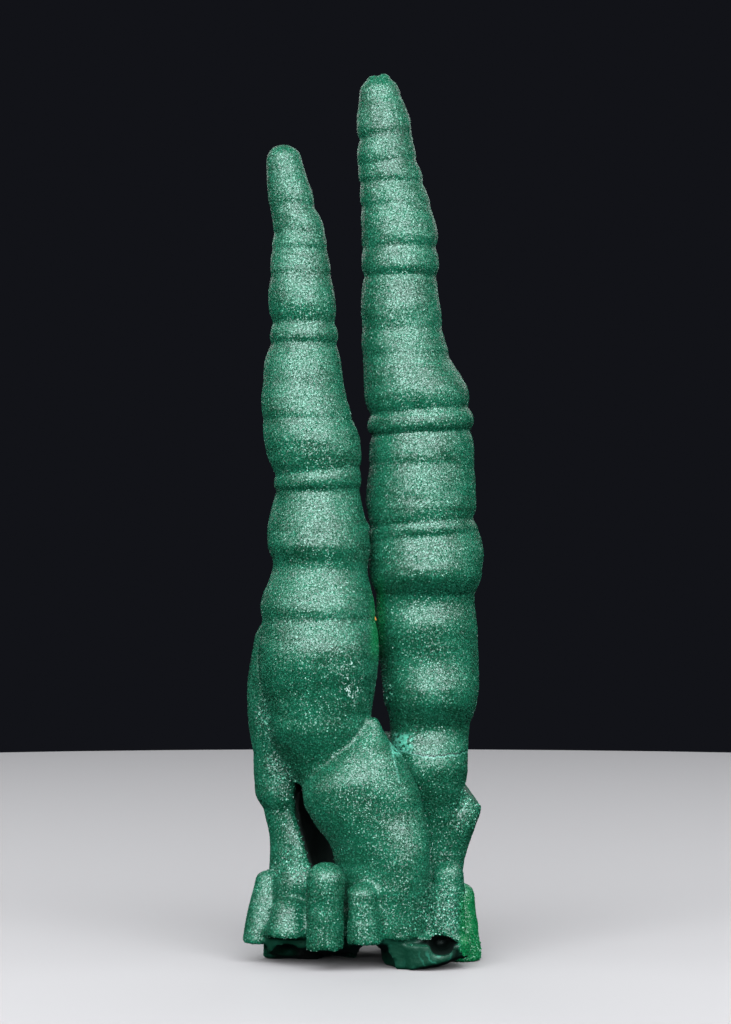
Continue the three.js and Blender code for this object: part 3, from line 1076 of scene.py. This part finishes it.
@cache
def marks_group() -> bpy.types.NodeTree:
    """Marks on the front: a crack, a bruise, scratches, iron stain and two vivid green patches.

    Returns:
        The group, which takes a colour and puts it out with the marks laid over it.
    """
    n, given = new_group("marks", {"Colour": (0.02, 0.2, 0.1)}, {"Colour": "Color"})
    place = n.drawn_place()
    x, y, z = n.parts(place)
    front = n.ramp(y, (1.0, -1.0))
    pale_edge, colour = (0.16, 0.5, 0.4), given["Colour"]

    # A thin crack that sags in the middle, with a pale lower lip.
    sag = n.math("POWER", n.product(n.math("SUBTRACT", x, 14.8), 0.14), 2.0)
    wander = n.product(n.math("SUBTRACT", n.noise(place, 1.6, 3.0), 0.5), 1.4)
    crack_height = n.math("ADD", n.math("ADD", sag, 41.1), wander)
    reach = n.product(n.band(x, 13.5, 7.5, 0.5), front)
    crack = n.product(n.band(z, crack_height, 0.14, 0.06), reach, 0.9)
    lip = n.product(n.band(z, n.math("SUBTRACT", crack_height, 0.3), 0.14, 0.08), reach, 0.35)
    colour = n.mix(lip, colour, pale_edge)
    colour = n.mix(crack, colour, (0.003, 0.03, 0.02))

    # The bruise beside it, and the pale edge that runs down from there.
    bruise = n.product(n.band(x, 7.6, 2.1, 0.7), n.band(z, 43.4, 1.7, 0.6), front)
    bruise = n.product(bruise, n.ramp(n.noise(place, 0.8, 3.0), (0.4, 0.55)), 0.8)
    colour = n.mix(bruise, colour, (0.1, 0.46, 0.34))
    edge_at = n.math("SUBTRACT", 15.8, n.product(z, 0.24))
    edge = n.product(n.band(x, edge_at, 0.16, 0.08), n.band(z, 40.5, 4.0, 0.5), front, 0.3)
    colour = n.mix(edge, colour, pale_edge)

    # Scratches on the short finger.
    scraped = n.product(n.band(x, -2.4, 2.0, 1.0), n.band(z, 56.5, 4.0, 1.5))
    nick = n.product(n.band(x, -4.0, 0.6, 0.4), n.band(z, 71.4, 0.6, 0.4))
    strokes = n.noise(n.vector("MULTIPLY", place, (1.0, 1.0, 0.6)), 1.1, 1.0)
    scratch = n.product(n.band(strokes, 0.5, 0.022, 0.01), n.ramp(n.noise(place, 1.4), (0.48, 0.58)))
    scratch = n.product(scratch, n.math("MAXIMUM", scraped, nick), front)
    colour = n.mix(scratch, colour, (0.55, 0.78, 0.72))

    # Iron stain round the ochre speck.
    away = n.add("ShaderNodeVectorMath", operation="DISTANCE", _0=place, _1=(2.0, -3.0, 68.0))
    stain = n.product(n.ramp(away.outputs["Value"], (1.8, 0.6)), n.ramp(n.noise(place, 0.6), (0.4, 0.6)), 0.6)
    colour = n.mix(stain, colour, (0.35, 0.16, 0.03))

    # Vivid green on the outer right foot and in the slot between the fingers.
    foot = n.product(n.ramp(x, (18.2, 19.6)), n.ramp(y, (4.5, 1.5)), n.ramp(z, (17.0, 12.0)))
    slot = n.product(n.band(x, 2.8, 1.2, 0.9), n.band(z, 68.0, 7.0, 3.0))
    colour = n.mix(n.product(n.math("MAXIMUM", foot, slot), 0.7), colour, (0.001, 0.17, 0.045))
    n.add("NodeGroupOutput", Colour=colour)
    return n.tree


@cache
def facets_group() -> bpy.types.NodeTree:
    """Tilts the surface cell by cell, like a crust of crystals too small to be modelled.

    Returns:
        The group, with a normal, a random value for each cell, and a mask for the gaps.
    """
    outputs = {"Normal": "Vector", "Random": "Float", "Gap": "Float"}
    n, given = new_group("facets", {"Cell": 0.3, "Tilt": 0.5}, outputs)
    cells = n.add("ShaderNodeTexVoronoi", Vector=n.drawn_place(), Scale=n.math("DIVIDE", 1.0, given["Cell"]))
    chance = n.vector("SUBTRACT", n.vector("ADD", cells.outputs["Color"], cells.outputs["Color"]), (1.0,) * 3)
    cubed = n.vector("MULTIPLY", chance, n.vector("MULTIPLY", chance, chance))
    lean = n.scaled(cubed, given["Tilt"])
    geometry = n.add("ShaderNodeNewGeometry")
    turned = n.vector("NORMALIZE", n.vector("ADD", geometry.outputs["Normal"], lean))
    draw = n.add("ShaderNodeTexWhiteNoise", Vector=cells.outputs["Position"])
    gap = n.ramp(cells.outputs["Distance"], (0.35, 0.7))
    n.add("NodeGroupOutput", Normal=turned, Random=draw.outputs["Value"], Gap=gap)
    return n.tree


# The tint of light thrown back by malachite.
MINT_SHEEN: Colour = (0.77, 0.98, 0.96)


@dataclass(frozen=True)
class Finish:
    """What every finish has: a name, a roughness, a refraction and the tint of its reflections."""

    name: str
    roughness: float
    ior: float
    sheen: Colour = (1.0, 1.0, 1.0)

    def start(self) -> tuple[bpy.types.Material, Nodes, bpy.types.Node]:
        """Makes an empty material.

        Returns:
            The material, its nodes and its surface shader.
        """
        material = bpy.data.materials.new(self.name)
        material.use_nodes = True
        shader = material.node_tree.nodes["Principled BSDF"]
        shader.inputs["Roughness"].default_value = self.roughness
        shader.inputs["IOR"].default_value = self.ior
        shader.inputs["Specular Tint"].default_value = opaque(self.sheen)
        return material, Nodes(material.node_tree), shader


@dataclass(frozen=True)
class StoneFinish(Finish):
    """The stone's own skin under the crystals, and its dark broken faces with pale bands, with shade painted
    near black deep in the right foot's hollow and in the gap beside the trunk, and painted darker into the
    bottoms of deep grooves.
    """

    deep: Colour = (0.003, 0.05, 0.024)
    main: Colour = (0.006, 0.095, 0.05)
    # The dark inside shown on broken faces, also painted into the bottoms of deep grooves as shade.
    dark: Colour = (0.001, 0.034, 0.018)
    band: Colour = (0.02, 0.17, 0.115)
    # Near black painted as shade deep in the right foot's hollow and in the gap beside the trunk.
    hollow_shade: Colour = (0.0003, 0.003, 0.002)
    cell: float = 0.2
    tilt: float = 0.42
    broken_roughness: float = 0.5
    rim_at: tuple[float, float] = (14.8, 3.8)

    def material(self) -> bpy.types.Material:
        """Builds the material."""
        material, n, shader = self.start()
        tone = n.group(growth_tone_group(), Deep=self.deep, Main=self.main)
        facets = n.group(facets_group(), Cell=self.cell, Tilt=self.tilt)
        skin = n.mix(n.product(facets["Gap"], 0.6), tone[0], self.deep)
        # Painted shade: the skin is darkened towards the dark colour at the bottoms of deep grooves.
        skin = n.mix(n.product(n.measure(Mask.FURROW_SHADE.value), 0.5), skin, self.dark)
        marked = n.group(marks_group(), Colour=skin)[0]

        place = n.drawn_place()
        x, y, z = n.parts(place)
        across = n.math("POWER", n.math("SUBTRACT", x, self.rim_at[0]), 2.0)
        upward = n.math("POWER", n.math("SUBTRACT", z, self.rim_at[1]), 2.0)
        from_rim = n.math("SQRT", n.math("ADD", across, upward))
        wander = n.product(n.noise(place, 1.8, 3.0), 2.2)
        ripple = n.math("SINE", n.product(n.math("ADD", from_rim, wander), 4.0))
        rim = n.product(n.ramp(ripple, (0.45, 0.98)), n.ramp(from_rim, (5.2, 2.8)))
        rim = n.product(rim, n.ramp(z, (4.6, 3.0), (0.0, 0.55)))
        patchy = n.ramp(n.noise(place, 2.6, 3.0), (0.5, 0.7), (0.0, 0.2))
        inner = n.mix(n.math("MAXIMUM", rim, patchy), self.dark, self.band)
        # Painted shade: deep in the right foot's hollow and in the gap between the trunk and the side column,
        # the broken faces are painted near black.
        core_shade = n.product(n.ramp(y, (-15.8, -14.0)), n.ramp(from_rim, (6.0, 3.0)))
        gap_shade = n.product(n.ramp(y, (-8.0, -4.5)), n.band(x, -8.5, 5.0, 1.0))
        for shaded in (core_shade, gap_shade):
            inner = n.mix(shaded, inner, self.hollow_shade)

        broken = n.ramp(n.measure(Mask.BROKEN.value), (0.35, 0.65))
        bump = n.bump(n.noise(place, 0.7, 4.0), 0.35, 0.3)
        normal = n.add("ShaderNodeMix", data_type="VECTOR", _0=broken, _4=facets["Normal"])
        n.feed(normal, _5=bump)
        rough = n.ramp(broken, (0.0, 1.0), (self.roughness, self.broken_roughness))
        rough = n.math("MAXIMUM", rough, n.product(gap_shade, broken))
        n.feed(shader, Base_Color=n.mix(broken, marked, inner), Roughness=rough, Normal=normal.outputs[1])
        return material


@dataclass(frozen=True)
class CrystalFinish(Finish):
    """The crystals: clear deep green, some paler than others, each with its own gloss."""

    deep: Colour = (0.0022, 0.062, 0.03)
    main: Colour = (0.0045, 0.114, 0.062)
    pale: Colour = (0.08, 0.42, 0.28)
    dark: Colour = (0.0005, 0.012, 0.006)
    pale_share: float = 0.08
    dark_share: float = 0.3
    grain: float = 0.65
    gloss_spread: float = 0.22
    cell: float = 0.2
    tilt: float = 0.56

    def material(self) -> bpy.types.Material:
        """Builds the material."""
        material, n, shader = self.start()
        colour = n.group(growth_tone_group(), Deep=self.deep, Main=self.main)[0]
        facets = n.group(facets_group(), Cell=self.cell, Tilt=self.tilt)
        own, each = n.measure("tone"), facets["Random"]
        colour = n.mix(n.ramp(own, (0.4, 0.0), (0.0, self.dark_share)), colour, self.dark)
        colour = n.mix(n.ramp(own, (0.5, 1.0), (0.0, self.pale_share)), colour, self.pale)
        colour = n.mix(n.ramp(each, (0.5, 0.0), (0.0, self.grain)), colour, self.dark)
        colour = n.mix(n.ramp(each, (0.6, 1.0), (0.0, 0.5 * self.grain)), colour, self.pale)
        marked = n.group(marks_group(), Colour=colour)[0]
        rough = n.ramp(each, (0.0, 0.8), (self.roughness + self.gloss_spread, self.roughness))
        n.feed(shader, Base_Color=marked, Roughness=rough, Normal=facets["Normal"])
        return material


@dataclass(frozen=True)
class OchreFinish(Finish):
    """Earthy iron ochre."""

    dark: Colour = (0.2, 0.06, 0.01)
    light: Colour = (0.75, 0.3, 0.05)

    def material(self) -> bpy.types.Material:
        """Builds the material."""
        material, n, shader = self.start()
        grains = n.noise(n.drawn_place(), 0.25, 3.0)
        bump = n.bump(grains, 0.6, 0.1)
        colour = n.mix(n.ramp(grains, (0.35, 0.6)), self.dark, self.light)
        n.feed(shader, Base_Color=colour, Normal=bump)
        return material


@dataclass(frozen=True)
class FloorFinish(Finish):
    """A plain pale floor."""

    colour: Colour = (0.34, 0.34, 0.354)

    def material(self) -> bpy.types.Material:
        """Builds the material."""
        material, _, shader = self.start()
        shader.inputs["Base Color"].default_value = opaque(self.colour)
        return material


# ---- Studio ----


@dataclass(frozen=True)
class Panel:
    """A soft light panel that faces the cluster.

    The azimuth is measured from the front towards the right, and the elevation from level, in
    degrees. The distance, width and height are in heights of the cluster.
    """

    name: str
    azimuth: float
    elevation: float
    distance: float
    width: float
    height: float
    radiance: float

    def build(self) -> None:
        """Hangs the panel."""
        light = bpy.data.lights.new(self.name, "AREA")
        light.shape = "RECTANGLE"
        light.size = self.width * HEIGHT
        light.size_y = self.height * HEIGHT
        light.energy = self.radiance * math.pi * light.size * light.size_y
        outward = Vector(facing(self.azimuth, self.elevation))
        panel = add_object(self.name, light)
        panel.location = Vector((0.0, 0.0, 0.5 * HEIGHT)) + outward * self.distance * HEIGHT
        panel.rotation_euler = (-outward).to_track_quat("-Z", "Y").to_euler()
        panel.visible_camera = False


@dataclass
class Studio:
    """Floor, light panels and camera, sized from the height of the cluster."""

    camera_at: Place = (0.0028, -3.599, 0.504)
    lens: float = 112.5
    floor_radius: float = 3.2
    backdrop: Colour = (0.006, 0.0065, 0.009)
    # Each panel's name, azimuth, elevation, distance, width, height and radiance.
    panels: tuple[Panel, ...] = (
        Panel("front", 0, 35, 5.5, 8.6, 6.0, 7.2),
        Panel("left", -64, 34, 3.8, 3.6, 4.2, 2.1),
        Panel("right", 64, 34, 3.8, 3.6, 4.2, 1.9),
        Panel("back_left", -155, 30, 3.8, 2.4, 2.8, 1.4),
        Panel("back_right", 155, 30, 3.8, 2.4, 2.8, 1.4),
    )

    def build(self) -> None:
        """Makes the whole studio."""
        self.make_floor()
        for panel in self.panels:
            panel.build()
        self.make_camera()
        world = bpy.data.worlds.new("studio")
        world.use_nodes = True
        world.node_tree.nodes["Background"].inputs["Color"].default_value = opaque(self.backdrop)
        bpy.context.scene.world = world
        bpy.context.scene.view_settings.view_transform = "Standard"

    def make_floor(self) -> None:
        """Makes the round pale floor."""
        mesh = bpy.data.meshes.new("floor")
        shape = bmesh.new()
        bmesh.ops.create_circle(shape, cap_ends=True, segments=96, radius=self.floor_radius * HEIGHT)
        shape.to_mesh(mesh)
        shape.free()
        floor = add_object("floor", mesh)
        mesh.materials.append(FloorFinish("pale_floor", roughness=0.6, ior=1.45).material())
        floor.visible_glossy = False
        floor.visible_diffuse = False

    def make_camera(self) -> None:
        """Sets the camera level with the middle of the cluster, looking along +Y."""
        data = bpy.data.cameras.new("camera")
        data.lens = self.lens
        data.clip_start = 0.01
        camera = add_object("camera", data)
        camera.location = Vector(self.camera_at) * HEIGHT
        camera.rotation_euler = (math.pi / 2.0, 0.0, 0.0)
        bpy.context.scene.camera = camera


# ---- Putting it together ----


@dataclass
class OchreSpeck:
    """A speck of iron ochre caught in the slot between the two fingers."""

    at: Place = (2.1, -3.4, 68.1)
    radius: float = 0.5
    lumpiness: float = 0.45
    lumps_per_mm: float = 2.4

    def build(self) -> bpy.types.Object:
        """Makes the speck.

        Returns:
            The speck.
        """
        shape = bmesh.new()
        bmesh.ops.create_icosphere(shape, subdivisions=3, radius=self.radius * UNIT)
        for vertex in shape.verts:
            lump = noise.noise(vertex.co / UNIT * self.lumps_per_mm)
            vertex.co = vertex.co * (1.0 + self.lumpiness * lump) + spot(*self.at)
        mesh = bpy.data.meshes.new("ochre_speck")
        shape.to_mesh(mesh)
        shape.free()
        mesh.materials.append(OchreFinish("iron_ochre", roughness=0.8, ior=1.5).material())
        return add_object("ochre_speck", mesh)


def join_frame(piece: bpy.types.Object) -> None:
    """Ties a finished piece to the frame."""
    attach(piece, BODY)
    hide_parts(NODE)
    log.info("%s: %d faces", piece.name, len(piece.data.polygons))


def main() -> None:
    """Builds the stone, its crystals and the studio in order."""
    logging.basicConfig(level=logging.INFO, format="%(name)s: %(message)s")
    stone = Stone().build()
    fine = CrystalFinish("fine_crystals", roughness=0.17, ior=1.8, sheen=MINT_SHEEN)
    bright = CrystalFinish("coarse_crystals", roughness=0.12, ior=1.85, sheen=MINT_SHEEN, pale_share=0.75)
    skin = StoneFinish("malachite_stone", roughness=0.25, ior=1.45, sheen=MINT_SHEEN)
    fine_look, bright_look = fine.material(), bright.material()
    pieces = [stone, OchreSpeck().build()]
    fine_scatter = CrystalScatter(density=9.5, width=0.44, length=0.36, lean=0.1, proud=0.2)
    for zone in Zone:
        pieces.append(fine_scatter.build(stone, zone.value, fine_look))
    coarse_scatter = CrystalScatter(density=6.0, width=0.46, length=0.45, lean=1.0, proud=0.35, seed=31)
    pieces.append(coarse_scatter.build(stone, Mask.COARSE.value, bright_look))
    pieces[-1].name = "crystals_coarse"
    stone.data.materials.append(skin.material())
    for zone in Zone:
        stone.data.attributes.remove(stone.data.attributes[zone.value])
    for piece in pieces:
        join_frame(piece)
    Studio().build()
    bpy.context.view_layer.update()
    log.info("sizes written")


if __name__ == "__main__":
    main()
